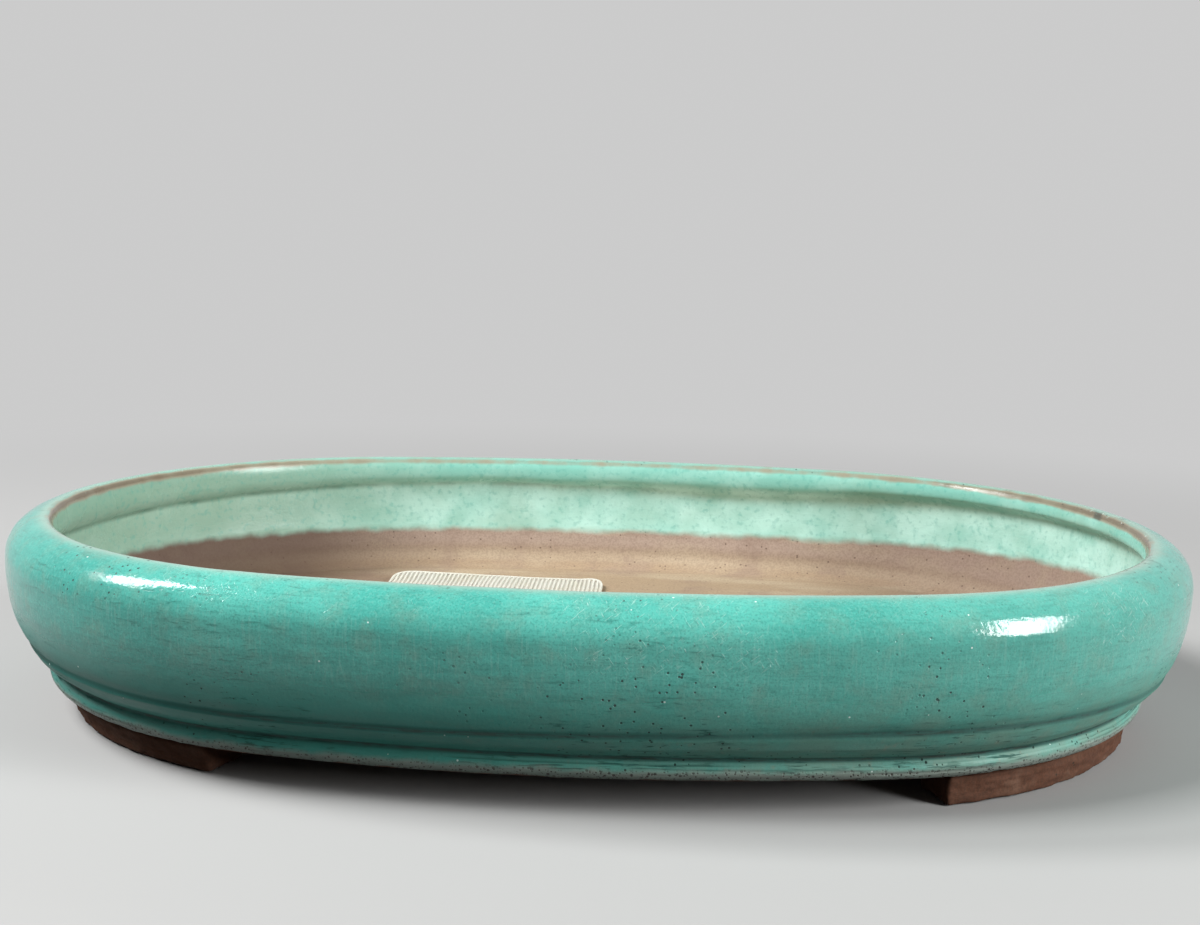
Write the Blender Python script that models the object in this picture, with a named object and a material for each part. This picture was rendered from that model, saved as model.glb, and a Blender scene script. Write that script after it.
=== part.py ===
"""Oval bonsai pot: a bulging stoneware wall on a stepped floor slab, with four arc feet under it.

Two drainage holes in the slab are covered by oblongs of plastic mesh, each held down by a wire clip.
X runs along the pot, Y across it, and Z is up from the surface that it stands on. Units are metres.
"""

import math

import bmesh
import bpy

MM = 0.001

# Slip joint between two fired pieces, and the play under each loose piece
JOINT_GAP = 0.3 * MM

# Plan of the pot at its belly: an oval of two end arcs and two flatter side arcs
LENGTH = 300 * MM
WIDTH = 208 * MM
SIDE_RADIUS = 362 * MM
END_STEPS = 14
SIDE_STEPS = 4

# Heights above the surface that the pot stands on
UNDERSIDE_Z = 6.5 * MM
FLANGE_Z = 10.7 * MM
FLOOR_Z = 13.5 * MM
BAND_BOTTOM_Z = 14.2 * MM
BELLY_Z = 39.0 * MM

# Wall section: every inset is measured inwards from the plan oval, and every sweep is in degrees
WALL = 4.4 * MM
SHOULDER_IN = 9.7 * MM
SHOULDER_RISE = 9.2 * MM
LOWER_IN = 5.7 * MM
LOWER_DROP = 18.6 * MM
LOWER_SWEEP = 74
INNER_DROP = 21.0 * MM
INNER_SWEEP = 60
GROOVE_DEPTH = 0.7 * MM
GROOVE_WIDTH = 1.0 * MM
BAND_BOTTOM_IN = 10.2 * MM
BAND_CROWN = 0.4 * MM
FLANGE_IN = 9.7 * MM
FLANGE_ROUND_IN = 2.2 * MM
FLANGE_ROUND_Z = 2.9 * MM
FLANGE_TOP_SWEEP = 65
FLANGE_LOW_SWEEP = 55
UNDERSIDE_IN = 13.0 * MM
COVE_IN = 16.5 * MM
COVE_RUN = 9.0 * MM
COVE_RISE = 8.0 * MM
COVE_SWEEP = 60

# Straight steps that stand in for each curve of the section
SHOULDER_STEPS = 6
LOWER_STEPS = 6
FLANGE_STEPS = 5
COVE_STEPS = 3
INNER_STEPS = 4
UNDER_SHOULDER_STEPS = 3
LIP_STEPS = 4

# Ledge round the inside of the wall's foot, which the slab's rim rests on
LEDGE_REACH = 4.5 * MM
LEDGE_THICKNESS = 3.0 * MM

# Feet: arcs that follow the oval, with a wide gap at front and back and a narrow one at each end
FOOT_TOP_IN = 13.3 * MM
FOOT_SPLAY = 2.6 * MM
FOOT_WIDTH = 12.7 * MM
FOOT_ROUND = 0.9 * MM
FOOT_ROUND_ABOVE = 40
FRONT_GAP = 160 * MM
END_GAP = 34 * MM
FOOT_STEPS = 9

# Drainage holes, on the long axis
HOLE_DIAMETER = 24 * MM
HOLE_X = 39.2 * MM
HOLE_SIDES = 24

# Wire clips, whose legs pass through the mesh and the hole and fold out under the slab
WIRE = 1.2 * MM
LEG_CLEARANCE = 1.8 * MM
LEG_FOLD = 7.0 * MM
BEND_RADIUS = 1.3 * MM
BEND_STEPS = 4

# Drainage mesh: each clip stands three openings wide, and the mesh is counted in openings from its hole
PITCHES_PER_CLIP = 3
STRAND = 1.0 * MM
MESH_THICKNESS = 0.8 * MM
MESH_OUTER_COLUMNS = 4
MESH_NEAR_ROWS = 3
MESH_MIDDLE_GAP = 1.2 * MM
MESH_BACK_MARGIN = 12 * MM

# Edges that bend less than this, in degrees, are shaded smooth
SMOOTH_BELOW = 35

# Colours in linear light
GLAZE = (0.075, 0.42, 0.33)
CLAY = (0.17, 0.075, 0.045)
FLOOR_CLAY = (0.40, 0.25, 0.17)
CREAM_PLASTIC = (0.78, 0.74, 0.64)
ALUMINIUM = (0.55, 0.54, 0.52)

# Values that follow from those above
HALF_LENGTH = LENGTH / 2
HALF_WIDTH = WIDTH / 2
REACH_SQUARED = HALF_LENGTH**2 + HALF_WIDTH**2
END_RADIUS = (REACH_SQUARED - 2 * SIDE_RADIUS * HALF_WIDTH) / (2 * (HALF_LENGTH - SIDE_RADIUS))
END_CENTRE_X = HALF_LENGTH - END_RADIUS
SIDE_CENTRE_Y = HALF_WIDTH - SIDE_RADIUS
TANGENT_ANGLE = math.atan2(-SIDE_CENTRE_Y, END_CENTRE_X)
RIM_Z = BELLY_Z + SHOULDER_RISE
LEDGE_IN = COVE_IN + LEDGE_REACH
LEDGE_Z = UNDERSIDE_Z + LEDGE_THICKNESS
HOLE_RADIUS = HOLE_DIAMETER / 2
LEG_OUT = HOLE_RADIUS - LEG_CLEARANCE - WIRE / 2
PITCH = 2 * LEG_OUT / PITCHES_PER_CLIP
MESH_BOTTOM_Z = FLOOR_Z + JOINT_GAP
MESH_TOP_Z = MESH_BOTTOM_Z + MESH_THICKNESS


def oval_point(inset, angle):
    """The point of the oval, drawn in by inset, where its outward normal stands at this angle from +X."""
    across, up = abs(math.cos(angle)), abs(math.sin(angle))
    if math.atan2(up, across) < TANGENT_ANGLE:
        x = END_CENTRE_X + (END_RADIUS - inset) * across
        y = (END_RADIUS - inset) * up
    else:
        x = (SIDE_RADIUS - inset) * across
        y = SIDE_CENTRE_Y + (SIDE_RADIUS - inset) * up
    return math.copysign(x, math.cos(angle)), math.copysign(y, math.sin(angle))


def angle_at_x(inset, x):
    """The normal's angle where the oval, drawn in by inset, crosses this x on its back right quarter."""
    tangent_x = (SIDE_RADIUS - inset) * math.cos(TANGENT_ANGLE)
    if x > tangent_x:
        return math.acos((x - END_CENTRE_X) / (END_RADIUS - inset))
    return math.acos(x / (SIDE_RADIUS - inset))


def oval_y(inset, x):
    """How far from the long axis the oval, drawn in by inset, lies at this x."""
    return abs(oval_point(inset, angle_at_x(inset, x))[1])


def quarter_angles():
    """Normal angles of one quarter: even steps along its end arc, then along its side arc."""
    end = [TANGENT_ANGLE * i / END_STEPS for i in range(END_STEPS)]
    side = math.pi / 2 - TANGENT_ANGLE
    return end + [TANGENT_ANGLE + side * i / SIDE_STEPS for i in range(SIDE_STEPS)]


def oval_angles():
    """Normal angles of the whole oval, once round from +X."""
    quarter = quarter_angles()
    mirrored = [math.pi - angle for angle in [math.pi / 2] + quarter[:0:-1]]
    half = quarter + mirrored
    return half + [angle + math.pi for angle in half]


def arc(centre, radii, start, sweep, steps):
    """Section points (inset, height) along an ellipse, from start through sweep, both in degrees."""
    angles = [math.radians(start + sweep * i / steps) for i in range(steps + 1)]
    return [(centre[0] + radii[0] * math.cos(a), centre[1] + radii[1] * math.sin(a)) for a in angles]


def material(name, colour, roughness, metallic=0.0):
    made = bpy.data.materials.new(name)
    made.use_nodes = True
    shader = made.node_tree.nodes["Principled BSDF"]
    shader.inputs["Base Color"].default_value = (*colour, 1.0)
    shader.inputs["Roughness"].default_value = roughness
    shader.inputs["Metallic"].default_value = metallic
    made.diffuse_color = (*colour, 1.0)
    return made


def add_object(name, bm, finish):
    """Turns the bmesh into an object with outward faces, shaded smooth across its gentle edges."""
    bmesh.ops.recalc_face_normals(bm, faces=bm.faces)
    mesh = bpy.data.meshes.new(name)
    bm.to_mesh(mesh)
    bm.free()
    mesh.shade_smooth()
    mesh.set_sharp_from_angle(angle=math.radians(SMOOTH_BELOW))
    mesh.materials.append(finish)
    obj = bpy.data.objects.new(name, mesh)
    bpy.context.collection.objects.link(obj)
    return obj


def add_ring(bm, inset, height, angles):
    """The oval's points at this inset and height."""
    return [bm.verts.new((*oval_point(inset, angle), height)) for angle in angles]


def skin(bm, ring, following):
    """Faces from each point of one closed ring to the like points of the next."""
    for i, corner in enumerate(ring):
        bm.faces.new((ring[i - 1], corner, following[i], following[i - 1]))


def wall_section():
    """The wall's section, from the top of the lip down its outside and up its inside."""
    shoulder = arc((SHOULDER_IN, BELLY_Z), (SHOULDER_IN, SHOULDER_RISE), 90, 90, SHOULDER_STEPS)
    lower = arc((LOWER_IN, BELLY_Z), (LOWER_IN, LOWER_DROP), 180, LOWER_SWEEP, LOWER_STEPS)
    belly_end = lower[-1]
    upper_groove = (belly_end[0] + GROOVE_DEPTH, belly_end[1] - GROOVE_WIDTH / 2)
    band_top = (belly_end[0] + GROOVE_DEPTH / 2, belly_end[1] - GROOVE_WIDTH)
    band_bottom = (BAND_BOTTOM_IN, BAND_BOTTOM_Z)
    band_middle = (
        (band_top[0] + band_bottom[0]) / 2 - BAND_CROWN,
        (band_top[1] + band_bottom[1]) / 2 - BAND_CROWN,
    )
    flange_centre = (FLANGE_IN + FLANGE_ROUND_IN, FLANGE_Z)
    flange_radii = (FLANGE_ROUND_IN, FLANGE_ROUND_Z)
    flange_sweep = FLANGE_TOP_SWEEP + FLANGE_LOW_SWEEP
    flange = arc(flange_centre, flange_radii, 180 - FLANGE_TOP_SWEEP, flange_sweep, FLANGE_STEPS)
    lower_groove = (BAND_BOTTOM_IN + GROOVE_DEPTH, (BAND_BOTTOM_Z + flange[0][1]) / 2)
    ledge = [
        (UNDERSIDE_IN, UNDERSIDE_Z),
        (LEDGE_IN, UNDERSIDE_Z),
        (LEDGE_IN, LEDGE_Z),
        (COVE_IN, LEDGE_Z),
    ]
    cove_centre = (COVE_IN, FLOOR_Z + COVE_RISE)
    cove = arc(cove_centre, (COVE_RUN, COVE_RISE), 270, -COVE_SWEEP, COVE_STEPS)
    inner_centre = (WALL + LOWER_IN, BELLY_Z)
    inner_radii = (LOWER_IN, INNER_DROP)
    inner = arc(inner_centre, inner_radii, 180 + INNER_SWEEP, -INNER_SWEEP, INNER_STEPS)
    under_radii = (SHOULDER_IN - WALL, SHOULDER_RISE - WALL)
    under_shoulder = arc((SHOULDER_IN, BELLY_Z), under_radii, 180, -90, UNDER_SHOULDER_STEPS)
    lip = arc((SHOULDER_IN, RIM_Z - WALL / 2), (WALL / 2, WALL / 2), -90, 180, LIP_STEPS)
    outside = shoulder + lower[1:] + [upper_groove, band_top, band_middle, band_bottom, lower_groove]
    inside = cove + inner + under_shoulder[1:] + lip[1:-1]
    return outside + flange + ledge + inside


def make_wall(glaze):
    """The section carried round the oval."""
    bm = bmesh.new()
    angles = oval_angles()
    rings = [add_ring(bm, inset, height, angles) for inset, height in wall_section()]
    for ring, following in zip(rings, rings[1:] + rings[:1]):
        skin(bm, ring, following)
    return add_object("pot_wall", bm, glaze)


def make_hole_cutter(side, clay):
    """A hidden drum, longer than the slab is thick, that the slab is cut with."""
    bm = bmesh.new()
    bmesh.ops.create_cone(
        bm,
        cap_ends=True,
        segments=HOLE_SIDES,
        radius1=HOLE_RADIUS,
        radius2=HOLE_RADIUS,
        depth=FLOOR_Z * 2,
    )
    bmesh.ops.translate(bm, vec=(side * HOLE_X, 0, FLOOR_Z / 2), verts=bm.verts)
    cutter = add_object("hole_cutter_right" if side > 0 else "hole_cutter_left", bm, clay)
    cutter.hide_render = True
    cutter.display_type = "WIRE"
    return cutter


def make_slab(clay):
    """The floor: its rim rests on the wall's ledge, and its thicker middle fills the space inside it."""
    bm = bmesh.new()
    angles = oval_angles()
    rim_in = COVE_IN + JOINT_GAP
    step_in = LEDGE_IN + JOINT_GAP
    step_z = LEDGE_Z + JOINT_GAP
    levels = [(rim_in, FLOOR_Z), (rim_in, step_z), (step_in, step_z), (step_in, UNDERSIDE_Z)]
    rings = [add_ring(bm, inset, height, angles) for inset, height in levels]
    for ring, following in zip(rings, rings[1:]):
        skin(bm, ring, following)
    bm.faces.new(rings[0])
    bm.faces.new(rings[-1])
    slab = add_object("floor_slab", bm, clay)
    for side in (-1, 1):
        cut = slab.modifiers.new("drainage_hole", "BOOLEAN")
        cut.operation = "DIFFERENCE"
        cut.solver = "EXACT"
        cut.object = make_hole_cutter(side, clay)
    return slab


def make_foot(name, side, depth, clay):
    """One foot: a tapered section carried along the oval, rounded on every edge."""
    bm = bmesh.new()
    bottom_in = FOOT_TOP_IN + FOOT_SPLAY
    section = [
        (FOOT_TOP_IN, UNDERSIDE_Z - JOINT_GAP),
        (bottom_in, 0.0),
        (bottom_in + FOOT_WIDTH, 0.0),
        (bottom_in + FOOT_WIDTH, UNDERSIDE_Z - JOINT_GAP),
    ]
    start = math.asin(END_GAP / 2 / (END_RADIUS - bottom_in))
    stop = angle_at_x(bottom_in, FRONT_GAP / 2)
    rows = []
    for i in range(FOOT_STEPS + 1):
        angle = start + (stop - start) * i / FOOT_STEPS
        points = [(*oval_point(inset, angle), height) for inset, height in section]
        rows.append([bm.verts.new((side * x, depth * y, z)) for x, y, z in points])
    for row, following in zip(rows, rows[1:]):
        skin(bm, row, following)
    bm.faces.new(rows[0])
    bm.faces.new(rows[-1])
    foot = add_object(name, bm, clay)
    rounding = foot.modifiers.new("worn_edges", "BEVEL")
    rounding.width = FOOT_ROUND
    rounding.segments = 2
    rounding.limit_method = "ANGLE"
    rounding.angle_limit = math.radians(FOOT_ROUND_ABOVE)
    return foot


def strand_edges(first, last):
    """Both edges of each strand, for strands on whole pitches from first to last."""
    centres = [PITCH * i for i in range(first, last + 1)]
    return [centre + side * STRAND / 2 for centre in centres for side in (-1, 1)]


def make_mesh(name, side, plastic):
    """A flat net over one hole: a grid whose inner cells are left open, given its thickness by extrusion."""
    inner_columns = math.floor((HOLE_X - MESH_MIDDLE_GAP / 2) / PITCH)
    outer_edge = HOLE_X + MESH_OUTER_COLUMNS * PITCH
    back_reach = oval_y(COVE_IN, outer_edge) - MESH_BACK_MARGIN
    back_rows = math.floor(back_reach / PITCH - 0.5)
    xs = [HOLE_X + x for x in strand_edges(-inner_columns, MESH_OUTER_COLUMNS)]
    ys = [y - PITCH / 2 for y in strand_edges(-MESH_NEAR_ROWS, back_rows + 1)]
    bm = bmesh.new()
    # The left mesh lies towards the back and the right one, turned half round, towards the front
    corners = [[bm.verts.new((side * x, -side * y, MESH_BOTTOM_Z)) for y in ys] for x in xs]
    for i in range(len(xs) - 1):
        for j in range(len(ys) - 1):
            if i % 2 and j % 2:
                continue
            bm.faces.new((corners[i][j], corners[i + 1][j], corners[i + 1][j + 1], corners[i][j + 1]))
    raised = bmesh.ops.extrude_face_region(bm, geom=bm.faces[:])["geom"]
    lifted = [item for item in raised if isinstance(item, bmesh.types.BMVert)]
    bmesh.ops.translate(bm, vec=(0, 0, MESH_THICKNESS), verts=lifted)
    return add_object(name, bm, plastic)


def bend(corner, start, sweep):
    """Points of a quarter bend in the clip's own plane (x, z), round this centre."""
    return arc(corner, (BEND_RADIUS, BEND_RADIUS), start, sweep, BEND_STEPS)


def make_clip(name, side, metal):
    """A staple of round wire: over the mesh, down through the hole and out under the slab."""
    crown_z = MESH_TOP_Z + JOINT_GAP + WIRE / 2
    fold_z = UNDERSIDE_Z - JOINT_GAP - WIRE / 2
    top_bend = bend((LEG_OUT - BEND_RADIUS, crown_z - BEND_RADIUS), 90, -90)
    low_bend = bend((LEG_OUT + BEND_RADIUS, fold_z + BEND_RADIUS), 180, 90)
    half = [(0, crown_z)] + top_bend + low_bend + [(LEG_OUT + LEG_FOLD, fold_z)]
    path = [(-x, z) for x, z in half[:0:-1]] + half
    curve = bpy.data.curves.new(name, "CURVE")
    curve.dimensions = "3D"
    curve.bevel_depth = WIRE / 2
    curve.bevel_resolution = 1
    curve.use_fill_caps = True
    spline = curve.splines.new("POLY")
    spline.points.add(len(path) - 1)
    for point, (x, z) in zip(spline.points, path):
        point.co = (x, 0, z, 1)
    curve.materials.append(metal)
    clip = bpy.data.objects.new(name, curve)
    clip.location = (side * HOLE_X, 0, 0)
    bpy.context.collection.objects.link(clip)
    return clip


def main():
    for obj in list(bpy.data.objects):
        bpy.data.objects.remove(obj)
    glaze = material("jade_glaze", GLAZE, 0.28)
    clay = material("bare_red_clay", CLAY, 0.85)
    floor_clay = material("dusty_floor_clay", FLOOR_CLAY, 0.9)
    plastic = material("cream_plastic", CREAM_PLASTIC, 0.5)
    metal = material("aluminium_wire", ALUMINIUM, 0.35, 1.0)
    make_wall(glaze)
    make_slab(floor_clay)
    for side, end_word in ((-1, "left"), (1, "right")):
        for depth, face_word in ((-1, "front"), (1, "back")):
            make_foot(f"foot_{face_word}_{end_word}", side, depth, clay)
        make_mesh(f"drainage_mesh_{end_word}", side, plastic)
        make_clip(f"mesh_clip_{end_word}", side, metal)


main()
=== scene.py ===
"""Oval bonsai pot: its glazed wall, clay floor and feet, plastic net and wire clips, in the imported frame.

Each shape is a surface worked out from two parameters as whole numpy arrays. A section or profile is
drawn in a plane and carried along the pot's oval. X runs along the pot, Y across it, Z is up, in metres.
"""

import math

import bmesh
import bpy
import numpy as np
from mathutils import Matrix, Vector


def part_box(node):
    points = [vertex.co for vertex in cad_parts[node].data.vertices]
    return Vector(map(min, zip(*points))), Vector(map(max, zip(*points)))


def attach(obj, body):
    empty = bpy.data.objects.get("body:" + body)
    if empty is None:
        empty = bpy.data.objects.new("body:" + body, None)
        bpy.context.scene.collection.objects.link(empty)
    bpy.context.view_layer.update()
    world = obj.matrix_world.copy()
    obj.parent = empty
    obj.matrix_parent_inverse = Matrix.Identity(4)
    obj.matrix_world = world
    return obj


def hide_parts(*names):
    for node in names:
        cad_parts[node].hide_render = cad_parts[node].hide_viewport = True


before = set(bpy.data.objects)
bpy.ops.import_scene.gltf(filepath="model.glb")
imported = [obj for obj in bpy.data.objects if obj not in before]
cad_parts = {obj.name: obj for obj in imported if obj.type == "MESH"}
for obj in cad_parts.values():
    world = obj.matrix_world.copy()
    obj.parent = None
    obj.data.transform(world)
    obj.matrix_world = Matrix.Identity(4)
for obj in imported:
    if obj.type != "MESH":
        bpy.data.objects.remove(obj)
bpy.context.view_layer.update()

MM = 0.001
TURN = 2 * math.pi
# Noise on a shape with two ends is read over less than a whole turn, so that its ends differ
OPEN_TURN = 0.98
# Points of a mesh that lie nearer than this are one
WELD = 1e-6
FINE_WELD = 1e-7

# The oval and the heights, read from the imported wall, slab and clip
WALL_LOW, WALL_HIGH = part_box("pot_wall")
SLAB_LOW, SLAB_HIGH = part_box("floor_slab")
CLIP_LOW, CLIP_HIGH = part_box("mesh_clip_left")
HALF_LENGTH = WALL_HIGH.x
HALF_WIDTH = WALL_HIGH.y
RIM_Z = WALL_HIGH.z
UNDERSIDE_Z = WALL_LOW.z
FLOOR_Z = SLAB_HIGH.z
SIDE_RADIUS = 362 * MM
# The radius at which the end arcs meet the side arcs without a corner
END_RADIUS = HALF_LENGTH**2 + HALF_WIDTH**2 - 2 * SIDE_RADIUS * HALF_WIDTH
END_RADIUS /= 2 * (HALF_LENGTH - SIDE_RADIUS)
END_CENTRE_X = HALF_LENGTH - END_RADIUS
SIDE_CENTRE_Y = HALF_WIDTH - SIDE_RADIUS
TANGENT_ANGLE = math.atan2(-SIDE_CENTRE_Y, END_CENTRE_X)

# Wall section, as insets from the oval and heights
SHOULDER_RISE = 9.2 * MM
BELLY_Z = RIM_Z - SHOULDER_RISE
SHOULDER_IN = 9.7 * MM
LIP_IN = 2.2 * MM
LIP_DROP = 4.4 * MM
INNER_WALL = 8.2 * MM
INNER_IN = 3.6 * MM
LOWER_IN = 5.7 * MM
LOWER_DROP = 18.9 * MM
LOWER_SWEEP = 74
CREASE_FOOT_Z = 38.3 * MM
ROLL_STEP, ROLL_STEP_SHARE = 0.62, 0.60
INNER_DROP = 21.0 * MM
INNER_SWEEP = 60
GROOVE_DEPTH = 0.65 * MM
GROOVE_WIDTH = 1.7 * MM
UPPER_GROOVE_DROPS = 0.65 * MM
UPPER_GROOVE_WAVE = 0.9 * MM
UPPER_GROOVE_REACH = 3.4 * MM
BAND_BOTTOM_IN = 10.2 * MM
BAND_BOTTOM_Z = 13.1 * MM
BAND_CROWN = 0.5 * MM
FLANGE_CENTRE = (11.9 * MM, 10.2 * MM)
FLANGE_RADII = (2.2 * MM, 2.3 * MM)
FLANGE_TOP_SWEEP = 65
FLANGE_LOW_SWEEP = 55
UNDERSIDE_IN = 13.0 * MM
COVE_IN = 16.5 * MM
COVE_RUN = 7.2 * MM
COVE_RISE = 8.0 * MM
COVE_SWEEP = 60
JOINT_SMEAR = 1.6 * MM
JOINT_TAPER = 5.0 * MM
JOINT_EDGE = 1.0 * MM

# A hair's breadth keeps the wall and the floor apart, and welds the floor's halves
HAIR = 0.02 * MM

# Inside, the glaze ends and the crease runs higher at the pot's right end: the glaze's mean height and the
# waves that go once and twice round, and how far the crease rises
GLAZE_ENDS_Z = (26.2 * MM, 1.85 * MM, 1.6 * MM)
CREASE_RISE = 1.9 * MM
CREASE_WAVER = 0.7 * MM
CREASE_REACH = 3.2 * MM
CREASE_ABOVE_INNER = 0.9 * MM
CREASE_CENTRE_RISE = 1.0 * MM
CREASE_DEPTH = 0.2 * MM
CREASE_WIDTH = 1.1 * MM
CREASE_FILL = 1.1 * MM
CREASE_FILL_WIDTH = 1.9 * MM

# The glaze: its coat and the bead at its edge, where it ends on the flange, and how that line wavers
GLAZE_COAT = 0.16 * MM
GLAZE_THINS = (-0.15 * MM, 0.5 * MM)
BEAD_HEIGHT = 0.05 * MM
BEAD_BACK = 0.9 * MM
BEAD_WIDTH = 0.8 * MM
GLAZE_PAST_FLANGE = 1.3 * MM
GLAZE_EDGE_WAVER = 0.5 * MM

# Throwing lines under the lower groove, and the unevenness of the wall
THROWING_LINES = ((1.6 * MM, 31), (2.7 * MM, 32), (3.9 * MM, 33))
THROWING_DEPTH = 0.2 * MM
THROWING_WIDTH = 0.28 * MM
BRUSHED_RELIEF = 0.03 * MM
WALL_UNEVENNESS = 0.05 * MM
BARE_CLAY_RELIEF = 0.05 * MM
WALL_WANDERS = 0.15 * MM

# What only the glaze's finish reads: how far under the rim inside turns to outside, the pools of glaze and
# painted shade in the two grooves, where the glaze is thin on the lip and on the rim's crown, and how wide
# the pale rim of painted reflection is on either side of its crown
INSIDE_ENDS = (2.6 * MM, 1.2 * MM)
UPPER_POOL_SHADE_LOWER = 0.3 * MM
UPPER_POOL_SHADE_WIDTH = 1.2 * MM
LOWER_POOL_SHADE_WIDTH = 0.9 * MM
THIN_ON_LIP = 2.0 * MM
THIN_WIDTH = 1.15 * MM
THIN_CROWN_WIDTH = 0.5 * MM
RIM_WIDTHS = (1.8 * MM, 2.0 * MM)

# How finely the wall is drawn, and how softly the glaze rounds its section
WALL_STATIONS = 620
WALL_ROWS = 160
SECTION_STEP = 0.1 * MM
GLAZE_SOFTENS = 0.60 * MM
ROWS_ADDED_AT_MOULDINGS = 1.4
ROWS_SPARED_UNDERNEATH = 0.75

# The floor and its drainage holes, which lie under the clips
FLOOR_IN = COVE_IN + 0.2 * MM
HOLE_X = (CLIP_LOW.x + CLIP_HIGH.x) / 2
HOLE_RADIUS = 12 * MM
HOLE_FILLET = 1.1 * MM
HOLE_WAVER = 0.25 * MM
HOLE_BEVEL_UNDER = 0.5 * MM

# The floor's relief: soft lumps, the swirl of the thrower's fingers, the rough underside, and how far
# from a hole's edge the relief fades in
FLOOR_NOISE_SPAN = 400 * MM
FLOOR_LUMPS = 0.09 * MM
FLOOR_SWIRL = 0.07 * MM
SWIRL_SQUEEZE = 0.72
FLOOR_ROUGH_UNDER = 0.05 * MM
CALM_BY_HOLE = 2.5 * MM


def smooth_step(low, high, value):
    """0 below low, 1 above high, and 3t^2 - 2t^3 between them."""
    t = np.clip((value - low) / (high - low), 0, 1)
    return t * t * (3 - 2 * t)


def bell(value, centre, width):
    """A Gaussian bump of height 1."""
    return np.exp(-(((value - centre) / width) ** 2))


def noise(u, v, cells_u, cells_v, seed):
    """Smooth noise from -1 to 1 that closes on itself round u and v, both counted in turns.

    Random heights stand on a lattice of cells_u by cells_v, and S-curves blend the four round a point.
    """
    heights = np.random.default_rng(seed).uniform(-1, 1, (cells_u, cells_v))
    x, y = np.broadcast_arrays(u * cells_u, v * cells_v)
    i, j = np.floor(x).astype(int), np.floor(y).astype(int)
    across, along = smooth_step(0, 1, x - i), smooth_step(0, 1, y - j)
    i0, i1, j0, j1 = i % cells_u, (i + 1) % cells_u, j % cells_v, (j + 1) % cells_v
    near = heights[i0, j0] * (1 - across) + heights[i1, j0] * across
    far = heights[i0, j1] * (1 - across) + heights[i1, j1] * across
    return near * (1 - along) + far * along


def layered_noise(u, v, cells_u, cells_v, seed, layers=3):
    """Noise at doubling fineness and halving height, summed."""
    total = 0
    for layer in range(layers):
        fineness = 2**layer
        total = total + noise(u, v, cells_u * fineness, cells_v * fineness, seed + layer) / fineness
    return total


def oval(inset, angle):
    """The oval drawn in by inset: two end arcs and two side arcs, at the point with this normal angle."""
    across, up = np.abs(np.cos(angle)), np.abs(np.sin(angle))
    on_end = np.arctan2(up, across) < TANGENT_ANGLE
    x = np.where(on_end, END_CENTRE_X + (END_RADIUS - inset) * across, (SIDE_RADIUS - inset) * across)
    y = np.where(on_end, (END_RADIUS - inset) * up, SIDE_CENTRE_Y + (SIDE_RADIUS - inset) * up)
    return np.copysign(x, np.cos(angle)), np.copysign(y, np.sin(angle))


def even_angles(count, inset=5 * MM):
    """Normal angles of stations that lie evenly round the oval, by inverting its summed length."""
    angles = np.linspace(0, TURN, 20001)
    x, y = oval(inset, angles)
    lengths = np.concatenate([[0], np.cumsum(np.hypot(np.diff(x), np.diff(y)))])
    return np.interp(np.arange(count) / count * lengths[-1], lengths, angles)


def distance_along(line):
    """How far each point of a line lies from its start, measured along it."""
    return np.concatenate([[0], np.cumsum(np.linalg.norm(np.diff(line, axis=0), axis=1))])


def arc(centre, radii, start, sweep, steps=60):
    """Section points along an ellipse, from start through sweep, both in degrees."""
    angles = np.radians(start + sweep * np.linspace(0, 1, steps + 1))
    return np.stack([centre[0] + radii[0] * np.cos(angles), centre[1] + radii[1] * np.sin(angles)], 1)


def grid_faces(rows, columns, close_rows=True):
    """Quads of a grid of points, joined round from its last column to its first, and so too from its last
    row to its first if they close."""
    i = np.arange(rows if close_rows else rows - 1)[:, None]
    j = np.arange(columns)[None, :]
    i1, j1 = (i + 1) % rows, (j + 1) % columns
    corners = [i * columns + j, i1 * columns + j, i1 * columns + j1, i * columns + j1]
    return np.stack([np.broadcast_to(c, (i.size, j.size)) for c in corners], -1).reshape(-1, 4)


def merge_and_orient(mesh, distance):
    """Welds doubled points, drops faces that shrink to nothing, and turns every face outwards."""
    bm = bmesh.new()
    bm.from_mesh(mesh)
    bmesh.ops.remove_doubles(bm, verts=bm.verts, dist=distance)
    bmesh.ops.dissolve_degenerate(bm, edges=bm.edges, dist=distance)
    bmesh.ops.recalc_face_normals(bm, faces=bm.faces)
    bm.to_mesh(mesh)
    bm.free()


def mesh_object(name, points, faces, attributes=None, sharp=None, weld=WELD):
    """A smooth object at the origin from an array of points and a list of faces, which stay sharp where
    they meet at more than this many degrees."""
    mesh = bpy.data.meshes.new(name)
    mesh.from_pydata(points.reshape(-1, 3).tolist(), [], faces)
    for key, values in (attributes or {}).items():
        layer = mesh.attributes.new(key, "FLOAT", "POINT")
        layer.data.foreach_set("value", np.asarray(values, np.float32).ravel())
    mesh.update()
    mesh.shade_smooth()
    if sharp:
        mesh.set_sharp_from_angle(angle=math.radians(sharp))
    merge_and_orient(mesh, weld)
    obj = bpy.data.objects.new(name, mesh)
    bpy.context.scene.collection.objects.link(obj)
    return obj


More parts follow.
